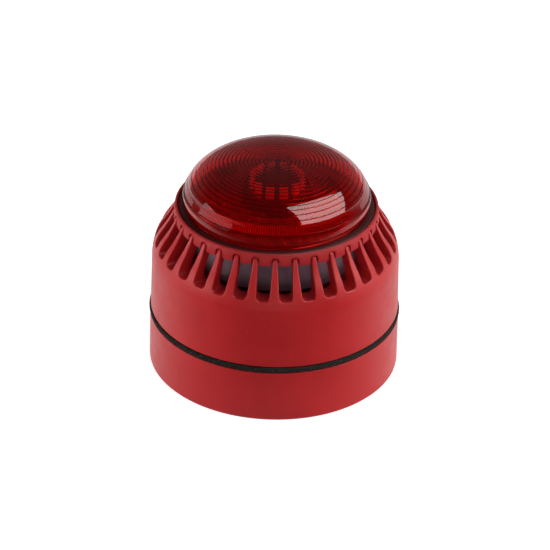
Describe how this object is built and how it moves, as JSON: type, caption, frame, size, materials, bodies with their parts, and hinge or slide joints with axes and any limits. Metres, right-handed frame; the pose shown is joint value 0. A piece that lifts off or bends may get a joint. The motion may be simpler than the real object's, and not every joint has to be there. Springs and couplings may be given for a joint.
{
  "type": "horn strobe",
  "caption": "Round wall-mounted horn strobe: shallow base, foam gasket, slotted sounder head that twists onto the base, reflex horn and a flashing beacon under a red domed lens.",
  "frame": {"origin": "centre of the base's rear face, on the axis, where the base meets the wall", "axes": "+Z along the axis from the wall to the lens; +X to the right and -Y towards the viewer, with a rib at the middle of the front"},
  "size_m": [0.093, 0.093, 0.0825],
  "materials": {
    "red_casing": "satin moulded ABS, fine texture",
    "gasket_foam": "open black foam",
    "black_moulding": "moulded, matt",
    "white_moulding": "moulded, matt",
    "blue_moulding": "moulded, matt",
    "horn_grey": "glossy grey moulding",
    "brass": "pressed strip",
    "steel": "zinc plated",
    "ceramic": "fired ceramic with a silvered face",
    "green_board": "solder mask",
    "white_board": "white solder mask",
    "copper_winding": "enamelled copper",
    "lead_sleeve": "PVC sleeve",
    "led_package": "phosphor-filled package",
    "black_rubber": "moulded rubber",
    "red_lens": "clear red polycarbonate, polished outside"
  },
  "bodies": {
    "base": {"base_shell": "red_casing", "base_gasket": "gasket_foam", "contact_carrier": "black_moulding", "contact_spring_1": "brass", "contact_spring_2": "brass", "contact_spring_3": "brass", "contact_spring_4": "brass", "terminal_screw_1": "steel", "terminal_screw_2": "steel", "terminal_screw_3": "steel", "terminal_screw_4": "steel"},
    "head": {"head_shell": "red_casing", "head_rear_cover": "black_moulding", "chamber_floor": "red_casing", "horn_cup": "horn_grey", "driver_seal": "black_rubber", "driver_disc": "brass", "driver_ceramic": "ceramic", "driver_cap": "black_moulding", "head_board": "green_board", "controller_chip": "black_moulding", "drive_transformer": "copper_winding", "head_capacitor": "black_moulding", "setting_switch": "blue_moulding", "volume_trimmer": "blue_moulding", "inner_lead": "lead_sleeve", "beacon_deck": "red_casing", "beacon_board": "white_board", "led_carrier": "white_moulding", "flash_capacitor": "black_moulding", "beacon_choke": "black_moulding", "beacon_chip": "black_moulding", "lead_socket": "white_moulding", "lens_seal": "black_rubber", "lens": "red_lens", "contact_blade_1": "brass", "contact_blade_2": "brass", "contact_blade_3": "brass", "contact_blade_4": "brass", "cover_screw_1": "steel", "beacon_screw_1": "steel", "cover_screw_2": "steel", "beacon_screw_2": "steel", "led_01": "led_package", "led_02": "led_package", "led_03": "led_package", "led_04": "led_package", "led_05": "led_package", "led_06": "led_package", "led_07": "led_package", "led_08": "led_package", "led_09": "led_package", "led_10": "led_package", "led_11": "led_package", "led_12": "led_package"},
    "volume_rotor": {"volume_rotor": "white_moulding"},
    "slider_1": {"setting_slider_1": "white_moulding"},
    "slider_2": {"setting_slider_2": "white_moulding"},
    "slider_3": {"setting_slider_3": "white_moulding"},
    "slider_4": {"setting_slider_4": "white_moulding"}
  },
  "joints": [
    {"name": "head_twist", "type": "hinge", "parent": "base", "child": "head", "pos_m": [0, 0, 0.0144], "axis": [0, 0, 1], "range_deg": [0, 20]},
    {"name": "volume_turn", "type": "hinge", "parent": "head", "child": "volume_rotor", "pos_m": [0.013, -0.024, 0.0237], "axis": [0, 0, 1], "range_deg": [-130, 130]},
    {"name": "slider_1_slide", "type": "slide", "parent": "head", "child": "slider_1", "axis": [0, 1, 0], "range_m": [0, 0.0015]},
    {"name": "slider_2_slide", "type": "slide", "parent": "head", "child": "slider_2", "axis": [0, 1, 0], "range_m": [0, 0.0015]},
    {"name": "slider_3_slide", "type": "slide", "parent": "head", "child": "slider_3", "axis": [0, 1, 0], "range_m": [0, 0.0015]},
    {"name": "slider_4_slide", "type": "slide", "parent": "head", "child": "slider_4", "axis": [0, 1, 0], "range_m": [0, 0.0015]}
  ]
}
